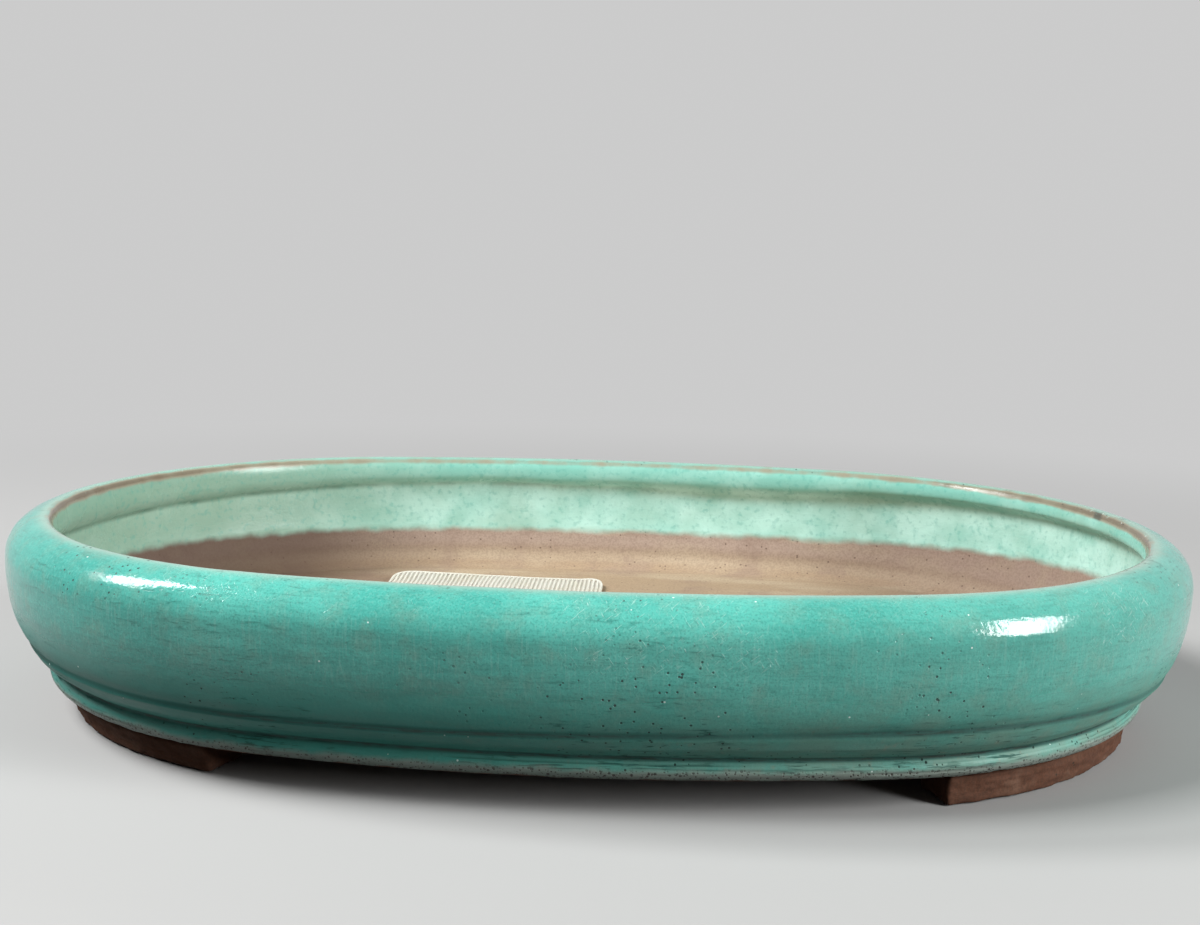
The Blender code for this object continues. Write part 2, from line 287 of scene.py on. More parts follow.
def section_points():
    """The wall's section as one closed line, and how far along it each place lies that is named later."""
    shoulder = arc((SHOULDER_IN, BELLY_Z), (SHOULDER_IN, SHOULDER_RISE), 90, 90)
    lower = arc((LOWER_IN, BELLY_Z), (LOWER_IN, LOWER_DROP), 180, LOWER_SWEEP)
    end = lower[-1]
    upper_groove = end + (GROOVE_DEPTH, -GROOVE_WIDTH / 2)
    band_top = end + (GROOVE_DEPTH / 2, -GROOVE_WIDTH)
    band_bottom = np.array((BAND_BOTTOM_IN, BAND_BOTTOM_Z))
    band_middle = (band_top + band_bottom) / 2 - BAND_CROWN
    flange_sweep = FLANGE_TOP_SWEEP + FLANGE_LOW_SWEEP
    flange = arc(FLANGE_CENTRE, FLANGE_RADII, 180 - FLANGE_TOP_SWEEP, flange_sweep)
    lower_groove = np.array((BAND_BOTTOM_IN + GROOVE_DEPTH, (BAND_BOTTOM_Z + flange[0][1]) / 2))
    # The luted joints with the slab are smeared a little way over it, above and below
    smeared_in = COVE_IN + JOINT_SMEAR
    under = np.array(
        [
            (UNDERSIDE_IN, UNDERSIDE_Z),
            (smeared_in + JOINT_TAPER, UNDERSIDE_Z),
            (smeared_in + JOINT_TAPER, UNDERSIDE_Z + JOINT_EDGE),
            (smeared_in, FLOOR_Z - JOINT_EDGE),
            (smeared_in, FLOOR_Z + HAIR),
        ]
    )
    cove = arc((COVE_IN, FLOOR_Z + COVE_RISE), (COVE_RUN, COVE_RISE), 270, -COVE_SWEEP)
    inner_radii = (INNER_IN, INNER_DROP)
    inner = arc((INNER_WALL + INNER_IN, CREASE_FOOT_Z), inner_radii, 180 + INNER_SWEEP, -INNER_SWEEP)
    # The lip is thick inside: from the crease it steps in, bulges a little and rises upright to the rim
    t = np.linspace(0, 1, 60)[1:]
    bulge = ROLL_STEP_SHARE * smooth_step(0, ROLL_STEP, t) + (1 - ROLL_STEP_SHARE) * (1 - (1 - t) ** 2)
    roll_in = INNER_WALL + (SHOULDER_IN + LIP_IN - INNER_WALL) * bulge
    roll = np.stack([roll_in, CREASE_FOOT_Z + (RIM_Z - LIP_DROP - CREASE_FOOT_Z) * t], 1)
    lip = arc((SHOULDER_IN, RIM_Z - LIP_DROP), (LIP_IN, LIP_DROP), 0, 90)
    named = [
        ("shoulder", shoulder),
        ("lower", lower[1:]),
        ("upper_groove", upper_groove[None]),
        ("band", np.stack([band_top, band_middle, band_bottom])),
        ("lower_groove", lower_groove[None]),
        ("flange", flange),
        ("under", under),
        ("cove", cove),
        ("inner", inner),
        ("roll", roll),
        ("lip", lip[1:-1]),
    ]
    points = np.concatenate([part for _, part in named])
    closed = np.concatenate([points, points[:1]])
    distance = distance_along(closed)
    ends = np.cumsum([len(part) for _, part in named]) - 1
    places = {name: distance[last] for (name, _), last in zip(named, ends)}
    up_inner = distance_along(inner)
    to_glaze = np.interp(GLAZE_ENDS_Z[0], inner[:, 1], up_inner)
    places["glaze_ends"] = places["inner"] - up_inner[-1] + to_glaze
    places["crease"] = places["inner"] + CREASE_ABOVE_INNER
    places["total"] = distance[-1]
    return closed, distance, places


def softened_section():
    """The section read every SECTION_STEP, rounded by a Gaussian, with its outward normals."""
    closed, distance, places = section_points()
    count = int(places["total"] / SECTION_STEP)
    s = np.arange(count) / count * places["total"]
    line = np.stack([np.interp(s, distance, closed[:, k]) for k in (0, 1)], 1)
    half = round(3 * GLAZE_SOFTENS / SECTION_STEP)
    reach = np.arange(-half, half + 1) * SECTION_STEP
    weights = np.exp(-0.5 * (reach / GLAZE_SOFTENS) ** 2)
    weights /= weights.sum()
    wrapped = np.concatenate([line[-half:], line, line[:half]])
    soft = np.stack([np.convolve(wrapped[:, k], weights, "valid") for k in (0, 1)], 1)
    along = np.roll(soft, -1, 0) - np.roll(soft, 1, 0)
    along /= np.linalg.norm(along, axis=1)[:, None]
    # Going down the outside, inset grows to the right: outwards is a quarter turn from the way along
    normals = np.stack([along[:, 1], -along[:, 0]], 1)
    return s, soft, normals, places


def row_places(places):
    """Distances along the section of the mesh's rows: close together where the pot shows its detail."""
    fine = np.linspace(0, places["total"], 4001)
    margin = 2 * MM
    mouldings = smooth_step(places["lower"] - margin, places["lower"], fine) * (fine < places["flange"])
    underneath = (fine > places["flange"] + margin) & (fine < places["under"] - margin)
    density = 1 + ROWS_ADDED_AT_MOULDINGS * mouldings - ROWS_SPARED_UNDERNEATH * underneath
    summed = np.concatenate([[0], np.cumsum((density[1:] + density[:-1]) / 2)])
    return np.interp(np.arange(WALL_ROWS) / WALL_ROWS * summed[-1], summed, fine)


def wall_marks(u, s, height, angles, places):
    """Where the wall carries each mark, from 0 to 1 over turn u and section distance s: bells and S-curves
    about the places that the section names, broken up round the pot by noise. Only the edge is a length:
    how far within the glaze a point lies, or without it where that is negative."""
    above_cove = s > places["cove"]
    glaze_ends = places["glaze_ends"] + GLAZE_ENDS_Z[1] * np.cos(angles)
    glaze_ends = glaze_ends + GLAZE_ENDS_Z[2] * np.cos(2 * angles)
    to_edge_outside = places["flange"] + GLAZE_PAST_FLANGE - s
    edge = np.where(s < places["under"] - 3 * MM, to_edge_outside, s - glaze_ends)
    ragged = edge + GLAZE_EDGE_WAVER * layered_noise(u, 0.5, 90, 1, 11)
    ragged = ragged + GLAZE_EDGE_WAVER * noise(u, 0.5, 240, 1, 12)
    sharp_places = noise(u, 0.5, 11, 1, 22) + 0.6 * np.abs(np.cos(angles))
    creased = 0.25 + 0.75 * smooth_step(-0.5, 0.4, sharp_places)
    throwing = 0
    for offset, seed in THROWING_LINES:
        present = smooth_step(-0.1, 0.5, noise(u, 0.5, 26, 1, seed))
        throwing = throwing + bell(s, places["lower_groove"] + offset, THROWING_WIDTH) * present
    near_groove = bell(height, BELLY_Z - LOWER_DROP, UPPER_GROOVE_REACH) * (s < places["flange"])
    return {
        "edge": edge,
        "glazed": smooth_step(*GLAZE_THINS, ragged),
        "bead": bell(ragged, BEAD_BACK, BEAD_WIDTH),
        "outside": (s < places["flange"]) * 1.0,
        "creased": creased,
        "crease": bell(s, places["crease"], CREASE_WIDTH) * creased,
        "near_crease": bell(height, CREASE_FOOT_Z + CREASE_CENTRE_RISE, CREASE_REACH) * above_cove,
        "near_groove": near_groove,
        "throwing": throwing,
    }


def wall_relief(u, v, s, marks, places):
    """How far the surface stands out: the glaze's coat and its bead, less the crease and the throwing
    lines, with the crease's corner filled where it is faint, and layered noise over all of it."""
    relief = GLAZE_COAT * (marks["glazed"] - 1) + BEAD_HEIGHT * (marks["bead"] - 1)
    relief = relief - CREASE_DEPTH * marks["crease"] - THROWING_DEPTH * marks["throwing"]
    fill = CREASE_FILL * bell(s, places["crease"], CREASE_FILL_WIDTH)
    relief = relief + fill * (1 - marks["creased"])
    relief = relief + BRUSHED_RELIEF * (layered_noise(u, v, 60, 90, 41) - 1.5) * marks["outside"]
    relief = relief + WALL_UNEVENNESS * (layered_noise(u, v, 40, 26, 44) - 1.5)
    bare = 1 - marks["glazed"]
    return relief + BARE_CLAY_RELIEF * (layered_noise(u, v, 300, 120, 47) - 1.5) * bare


def wall_attributes(u, s, angles, marks, places):
    """What the glaze's finish reads: how near its edge is, inside or out, where it pools and takes painted
    shade, where it runs thin, and where the rim takes a painted reflection.
    """
    whole = np.ones(np.broadcast_shapes(u.shape, s.shape))
    total = places["total"]
    inside = 1 - smooth_step(total - INSIDE_ENDS[0], total - INSIDE_ENDS[1], s)
    inside = np.where(s > places["under"], inside, 0.0)
    upper_pool_and_shade = bell(s, places["upper_groove"] + UPPER_POOL_SHADE_LOWER, UPPER_POOL_SHADE_WIDTH)
    lower_pool_and_shade = bell(s, places["lower_groove"], LOWER_POOL_SHADE_WIDTH)
    pool_and_shade = upper_pool_and_shade * (0.85 + 0.15 * noise(u, 0.5, 30, 1, 61)) + lower_pool_and_shade
    pool_and_shade = pool_and_shade + 0.6 * marks["throwing"]
    at_ends = 0.45 + 0.55 * np.cos(angles) ** 2
    thin = bell(s, total - THIN_ON_LIP, THIN_WIDTH) * at_ends + 0.25 * bell(s, 0, THIN_CROWN_WIDTH)
    # The pale rim of painted reflection, about the crown on either side
    rim = np.maximum(bell(s, total, RIM_WIDTHS[0]), bell(s, 0, RIM_WIDTHS[1]))
    values = {
        "glaze_edge": marks["edge"],
        "inside": inside,
        "pool_and_shade": pool_and_shade,
        "crease": marks["crease"],
        "rim": rim,
        "thin": thin,
    }
    return {name: value * whole for name, value in values.items()}


def make_wall():
    """The section carried round the oval. At turn u and section distance s the surface moves along the
    section's outward normal by the relief. The crease and the upper groove also rise and fall with u."""
    s_all, soft, normals, places = softened_section()
    total = places["total"]
    s = row_places(places)
    inset0 = np.interp(s, s_all, soft[:, 0], period=total)[None, :]
    height0 = np.interp(s, s_all, soft[:, 1], period=total)[None, :]
    in_normal = np.interp(s, s_all, normals[:, 0], period=total)[None, :]
    up_normal = np.interp(s, s_all, normals[:, 1], period=total)[None, :]
    angles = even_angles(WALL_STATIONS)[:, None]
    u = (np.arange(WALL_STATIONS) / WALL_STATIONS)[:, None]
    v = (s / total)[None, :]
    s = s[None, :]
    marks = wall_marks(u, s, height0, angles, places)
    relief = wall_relief(u, v, s, marks, places)
    crease_rises = CREASE_RISE * np.cos(angles) + CREASE_WAVER * layered_noise(u, 0.5, 15, 1, 21)
    # The upper groove wanders up and down three times on its way round
    wandering = UPPER_GROOVE_WAVE * np.sin(3 * TURN * (u - 0.75) - 0.3) - UPPER_GROOVE_DROPS
    shifted = crease_rises * marks["near_crease"] + wandering * marks["near_groove"]
    inset = inset0 + in_normal * relief
    inset = inset + WALL_WANDERS * (1 + noise(u, 0.5, 7, 1, 51))
    height = height0 + up_normal * relief + shifted
    raised = np.clip((height - UNDERSIDE_Z) / (RIM_Z - UNDERSIDE_Z), 0, 1)
    height = height - WALL_WANDERS * raised * (1 + noise(u, 0.5, 5, 1, 52))
    x, y = oval(inset, angles)
    points = np.stack([x, y, height], -1)
    faces = grid_faces(WALL_STATIONS, WALL_ROWS).tolist()
    return mesh_object("glazed_wall", points, faces, wall_attributes(u, s, angles, marks, places))


def slab_outline(hole_x, angles, inset):
    """Where rays at these angles from a hole's centre meet the slab's rim or the middle line x = 0."""
    x, y = oval(inset, np.linspace(0, TURN, 8001)[:-1])
    bearing = np.arctan2(y, x - hole_x)
    order = np.argsort(bearing)
    reach = np.interp(angles, bearing[order], np.hypot(y, x - hole_x)[order], period=TURN)
    toward_middle = -np.sign(hole_x) * np.cos(angles)
    to_middle = np.where(toward_middle > 1e-6, abs(hole_x) / np.maximum(toward_middle, 1e-6), np.inf)
    return np.minimum(reach, to_middle), to_middle < reach


def floor_half(side):
    """One half of the floor, ruled from its hole's edge to the rim. Each ruled line closes on itself: over
    the top, down the hole, back along the underside and up the rim. On the middle line it is open."""
    top_z, under_z = FLOOR_Z - HAIR, SLAB_LOW.z + HAIR
    columns, top_rows, hole_rows, under_rows = 240, 64, 10, 12
    fillet = HOLE_FILLET
    hole_x = side * abs(HOLE_X)
    angles = np.arange(columns) / columns * TURN
    # A ray goes exactly to each end of the middle line, so both halves meet there point for point
    y_tip = float(oval(FLOOR_IN, math.pi / 2)[1])
    tips = np.arctan2([y_tip, -y_tip], [-hole_x] * 2) % TURN
    for tip in tips:
        angles[np.argmin(np.abs(angles - tip))] = tip
    tipped = np.isclose(angles, tips[0]) | np.isclose(angles, tips[1])
    angles = angles[:, None]
    reach, on_middle = slab_outline(hole_x, angles, FLOOR_IN)
    near = HOLE_RADIUS + HOLE_WAVER * layered_noise(angles / TURN, 0.5, 9, 1, 61)
    # The rows of the top lie closer together towards the rim
    t = np.linspace(0, 1, top_rows)[None, :] ** 1.25
    radius = near + (reach - near) * (1 - t)
    into_fillet = np.clip(fillet - (radius - near), 0, fillet)
    drop = fillet - np.sqrt(np.maximum(fillet**2 - into_fillet**2, 0))
    top = np.stack([radius, top_z - drop * np.ones_like(radius)], -1)
    down = np.linspace(0, 1, hole_rows + 2)[None, 1:-1]
    hole_depth = top_z - fillet + (under_z + HOLE_BEVEL_UNDER - (top_z - fillet)) * down
    hole = np.stack([near * np.ones_like(down), hole_depth * np.ones_like(near)], -1)
    back = np.linspace(0, 1, under_rows)[None, :]
    under = np.stack([near + (reach - near) * back, under_z * np.ones_like(near * back)], -1)
    profile = np.concatenate([top, hole, under], 1)
    x = hole_x + profile[..., 0] * np.cos(angles)
    y = profile[..., 0] * np.sin(angles)
    z = profile[..., 1]
    u, v = x / FLOOR_NOISE_SPAN + 0.5, y / FLOOR_NOISE_SPAN + 0.5
    on_top = z > top_z - 3 * MM
    edge_fade = smooth_step(0, CALM_BY_HOLE, profile[..., 0] - near)
    # The swirl's rings are ovals, drawn in lengthwise, and wander a little
    swirl = np.hypot(x * SWIRL_SQUEEZE, y) / FLOOR_NOISE_SPAN + 0.02 * noise(u, v, 7, 7, 71)
    over = FLOOR_LUMPS * (layered_noise(u, v, 26, 26, 72) - 1.7)
    over = over + FLOOR_SWIRL * (noise(swirl, v, 60, 3, 75) - 1)
    beneath = FLOOR_ROUGH_UNDER * (1 + noise(u, v, 60, 60, 76)) * (z <= under_z)
    z = z + np.where(on_top, over * edge_fade, beneath)
    rows = profile.shape[1]
    faces = grid_faces(columns, rows)
    first, following = faces[:, 0] // rows, faces[:, 2] // rows
    up_the_rim = np.abs(faces[:, 0] % rows - faces[:, 2] % rows) == rows - 1
    middle = on_middle.ravel() | tipped
    keep = ~(up_the_rim & middle[first] & middle[following])
    return np.stack([x, y, z], -1).reshape(-1, 3), faces[keep]


def make_floor():
    """Two halves, welded point for point along the middle line x = 0."""
    left, left_faces = floor_half(-1)
    right, right_faces = floor_half(1)
    points = np.concatenate([left, right])
    faces = np.concatenate([left_faces, right_faces + len(left)]).tolist()
    return mesh_object("clay_floor", points, faces, weld=HAIR)


# Feet: all lean in towards the ground, the front right one less
FOOT_TOP_IN = 13.3 * MM
FOOT_INTO_WALL = 0.35 * MM
FOOT_LEAN = 2.6 * MM
FRONT_RIGHT_LEAN = 0.5 * MM
FOOT_WIDTH = 12.7 * MM
FOOT_ROUND = 1.0 * MM
FOOT_ROUGHNESS = 0.20 * MM
FOOT_DRAG = 0.12 * MM
FRONT_GAP = 160 * MM
END_GAP = 34 * MM
FOOT_STATIONS = 150
FOOT_SIDE_POINTS = 26


def rounded_section(corners, radius, per_side):
    """A closed section whose corners are rounded, read at even distances along it."""
    line = []
    count = len(corners)
    for k in range(count):
        here, before, after = corners[k], corners[k - 1], corners[(k + 1) % count]
        start = here + (before - here) / np.linalg.norm(before - here) * radius
        stop = here + (after - here) / np.linalg.norm(after - here) * radius
        t = np.linspace(0, 1, 9)[:, None]
        line.append((1 - t) ** 2 * start + 2 * t * (1 - t) * here + t**2 * stop)
    line = np.concatenate(line + [line[0][:1]])
    distance = distance_along(line)
    at = np.arange(per_side * count) / (per_side * count) * distance[-1]
    return np.stack([np.interp(at, distance, line[:, k]) for k in (0, 1)], 1)


def make_foot(name, side, depth, lean, seed):
    """A section that leans in towards the ground, carried along the oval. Near each end it draws in
    round its centre by a quarter circle, and the flat end closes towards a point."""
    bottom_in = FOOT_TOP_IN + lean
    top_z = UNDERSIDE_Z + FOOT_INTO_WALL
    corners = np.array(
        [
            (FOOT_TOP_IN, top_z),
            (bottom_in, 0.0),
            (bottom_in + FOOT_WIDTH, 0.0),
            (bottom_in + FOOT_WIDTH, top_z),
        ]
    )
    section = rounded_section(corners, FOOT_ROUND, FOOT_SIDE_POINTS)
    centre = section.mean(0)
    size = np.ptp(section, axis=0) / 2
    start = math.asin(END_GAP / 2 / (END_RADIUS - bottom_in))
    stop = math.acos((FRONT_GAP / 2 - END_CENTRE_X) / (END_RADIUS - bottom_in))
    arc_radius = END_RADIUS - centre[0]
    length = arc_radius * (stop - start)
    # Rows of one end: the flat face from its middle outwards, then round the edge
    shrink = np.array([0.0, 0.3, 0.6, 0.85])
    flat = np.zeros(len(shrink))
    quarter = np.linspace(0, math.pi / 2, 7)[:-1]
    end_along = np.concatenate([flat, FOOT_ROUND * (1 - np.cos(quarter))])
    end_drawn = np.concatenate([flat + FOOT_ROUND, FOOT_ROUND * (1 - np.sin(quarter))])
    end_kept = np.concatenate([shrink, np.ones(len(quarter))])
    inner = np.linspace(FOOT_ROUND, length - FOOT_ROUND, FOOT_STATIONS)
    along = np.concatenate([end_along, inner, length - end_along[::-1]])
    drawn = np.concatenate([end_drawn, 0 * inner, end_drawn[::-1]])
    kept = np.concatenate([end_kept, 1 + 0 * inner, end_kept[::-1]])
    scale = (1 - drawn[:, None] / size[None, :]) * kept[:, None]
    shape = centre + (section[None] - centre) * scale[:, None, :]
    u = (along / length)[:, None]
    v = (np.arange(len(section)) / len(section))[None, :]
    away = (section - centre) / np.linalg.norm(section - centre, axis=1)[:, None]
    rough = FOOT_ROUGHNESS * (layered_noise(u * OPEN_TURN, v, 34, 24, seed, 4) - 1.9)
    drag = FOOT_DRAG * (noise(u * OPEN_TURN, v, 6, 46, seed + 9) - 1)
    fade = smooth_step(0, 1, kept)[:, None]
    shape = shape + away[None] * ((rough + drag) * fade)[..., None]
    angle = start + along / arc_radius
    x, y = oval(shape[..., 0], angle[:, None])
    points = np.stack([side * x, depth * y, np.maximum(shape[..., 1], 0)], -1)
    return mesh_object(name, points, grid_faces(len(along), len(section), close_rows=False).tolist())


# Plastic net
NET_PITCH = 1.3 * MM
RIB_RADIUS = 0.40 * MM
THREAD_RADIUS = 0.28 * MM
NET_LIFT = 0.9 * MM
NET_CORNER = 8.0 * MM
NET_OVERHANG = 0.02
NET_OPEN_TURN = 0.97
RIBS_OVER = 0.8
NET_EDGE_POINTS = 130
NET_SHARP = 70


def tube_net(starts, stops, radius, stations, lift, sides=6):
    """Straight tubes from starts to stops, as one array, lifted off the floor by a function of x and y."""
    t = np.linspace(0, 1, stations)[None, :, None]
    line = starts[:, None] * (1 - t) + stops[:, None] * t
    ahead = (stops - starts) / np.linalg.norm(stops - starts, axis=1)[:, None]
    side = np.stack([-ahead[:, 1], ahead[:, 0]], 1)[:, None, None]
    around = np.arange(sides) / sides * TURN
    xy = line[:, :, None] + side * (radius * np.cos(around))[None, None, :, None]
    z = lift(line[..., 0], line[..., 1])[..., None] + radius * np.sin(around)
    z = np.broadcast_to(z, xy.shape[:3])
    points = np.concatenate([xy, z[..., None]], -1)
    per_tube = stations * sides
    wall = grid_faces(stations, sides, close_rows=False)
    first = np.arange(sides)[::-1]
    last = np.arange(sides) + per_tube - sides
    offsets = np.arange(len(starts)) * per_tube
    quads = (wall[None] + offsets[:, None, None]).reshape(-1, 4)
    caps = [cap + offset for offset in offsets for cap in (first, last)]
    return points.reshape(-1, 3), quads.tolist(), [cap.tolist() for cap in caps]


def edge_cord(outline, radius, lift, sides=8):
    """A round cord that closes on itself along the net's outline."""
    ahead = np.roll(outline, -1, 0) - np.roll(outline, 1, 0)
    ahead /= np.linalg.norm(ahead, axis=1)[:, None]
    beside = np.stack([-ahead[:, 1], ahead[:, 0]], 1)
    around = np.arange(sides) / sides * TURN
    xy = outline[:, None] + beside[:, None] * (radius * np.cos(around))[None, :, None]
    z = lift(outline[:, 0], outline[:, 1])[:, None] + radius * np.sin(around)
    return np.concatenate([xy, z[..., None]], -1).reshape(-1, 3), grid_faces(len(outline), sides)


def corner_cut(from_side):
    """How much the net's round corner takes off a rib or thread that lies this far from its side."""
    into_corner = np.clip(NET_CORNER - from_side, 0, NET_CORNER)
    return NET_CORNER - np.sqrt(NET_CORNER**2 - into_corner**2)


def make_net(name, node, seed):
    """Round ribs across the pot over finer threads along it, one pitch apart, inside a cord that runs
    round the edge, on a gently buckled sheet."""
    low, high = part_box(node)
    columns = int((high.x - low.x - 2 * RIB_RADIUS) / NET_PITCH)
    rows = int((high.y - low.y - 2 * RIB_RADIUS) / NET_PITCH)
    xs = (low.x + high.x) / 2 + (np.arange(columns + 1) - columns / 2) * NET_PITCH
    ys = (low.y + high.y) / 2 + (np.arange(rows + 1) - rows / 2) * NET_PITCH
    base = low.z + THREAD_RADIUS

    def buckle(x, y):
        u, v = (x - low.x) / (high.x - low.x), (y - low.y) / (high.y - low.y)
        waves = noise(u * NET_OPEN_TURN, v * NET_OPEN_TURN, 4, 4, seed)
        return base + NET_LIFT * smooth_step(-0.2, 0.9, waves)

    overhang = NET_OVERHANG * NET_PITCH
    rib_cut = corner_cut(np.minimum(xs - xs[0], xs[-1] - xs))
    thread_cut = corner_cut(np.minimum(ys - ys[0], ys[-1] - ys))
    near, far = ys[0] - overhang + rib_cut, ys[-1] + overhang - rib_cut
    left, right = xs[0] - overhang + thread_cut, xs[-1] + overhang - thread_cut
    ribs = np.stack([xs, near], 1), np.stack([xs, far], 1)
    threads = np.stack([left, ys], 1), np.stack([right, ys], 1)

    def ribs_lie(x, y):
        return buckle(x, y) + RIBS_OVER * THREAD_RADIUS

    rib_parts = tube_net(*ribs, RIB_RADIUS, rows * 2, ribs_lie)
    thread_parts = tube_net(*threads, THREAD_RADIUS, columns * 2, buckle)
    corners = np.array([(xs[0], ys[0]), (xs[-1], ys[0]), (xs[-1], ys[-1]), (xs[0], ys[-1])])
    edge = rounded_section(corners, NET_CORNER, NET_EDGE_POINTS)
    cord_points, cord_faces = edge_cord(edge, RIB_RADIUS, ribs_lie)
    before_threads = len(rib_parts[0])
    before_cord = before_threads + len(thread_parts[0])
    points = np.concatenate([rib_parts[0], thread_parts[0], cord_points])
    thread_faces = [[k + before_threads for k in face] for face in thread_parts[1] + thread_parts[2]]
    faces = rib_parts[1] + rib_parts[2] + thread_faces + (cord_faces + before_cord).tolist()
    return mesh_object(name, points, faces, sharp=NET_SHARP, weld=FINE_WELD)


# Wire clips
WIRE_RADIUS = 0.6 * MM
LEG_OUT = 9.6 * MM
LEG_FOLD = 7.0 * MM
LEG_SHORT = 0.1 * MM
BEND_RADIUS = 1.3 * MM
WIRE_WAVER = 0.35 * MM
WIRE_END_CUT = 0.12 * MM
WIRE_SIDES = 14
WIRE_STATIONS = 130
WIRE_SHARP = 40


def make_clip(name, node, seed):
    """A round wire along a staple's line, whose bends are quarter circles, bent a little by hand."""
    low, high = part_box(node)
    middle = (low.x + high.x) / 2
    crown, fold = high.z - WIRE_RADIUS, low.z + WIRE_RADIUS
    over = arc((LEG_OUT - BEND_RADIUS, crown - BEND_RADIUS), (BEND_RADIUS, BEND_RADIUS), 90, -90, 10)
    out = arc((LEG_OUT + BEND_RADIUS, fold + BEND_RADIUS), (BEND_RADIUS, BEND_RADIUS), 180, 90, 10)
    half = np.concatenate([over, out, [(LEG_OUT + LEG_FOLD - LEG_SHORT, fold)]])
    line = np.concatenate([half[::-1] * (-1, 1), half])
    distance = distance_along(line)
    at = np.linspace(0, distance[-1], WIRE_STATIONS)
    x, z = (np.interp(at, distance, line[:, k]) for k in (0, 1))
    y = WIRE_WAVER * noise(at / distance[-1] * OPEN_TURN, 0.5, 5, 1, seed)
    path = np.stack([middle + x, y, z], 1)
    ahead = np.gradient(path, axis=0)
    ahead /= np.linalg.norm(ahead, axis=1)[:, None]
    across = np.cross(ahead, (0.0, 1.0, 0.0))
    across /= np.linalg.norm(across, axis=1)[:, None]
    beside = np.cross(ahead, across)
    around = np.arange(WIRE_SIDES) / WIRE_SIDES * TURN
    radius = WIRE_RADIUS * np.ones(len(at))
    radius[[0, -1]] -= WIRE_END_CUT
    cosine, sine = np.cos(around)[None, :, None], np.sin(around)[None, :, None]
    ring = cosine * across[:, None] + sine * beside[:, None]
    points = path[:, None] + radius[:, None, None] * ring
    faces = grid_faces(len(at), WIRE_SIDES, close_rows=False).tolist()
    last = (len(at) - 1) * WIRE_SIDES
    faces += [list(range(WIRE_SIDES))[::-1], list(range(last, last + WIRE_SIDES))]
    return mesh_object(name, points, faces, sharp=WIRE_SHARP, weld=FINE_WELD)


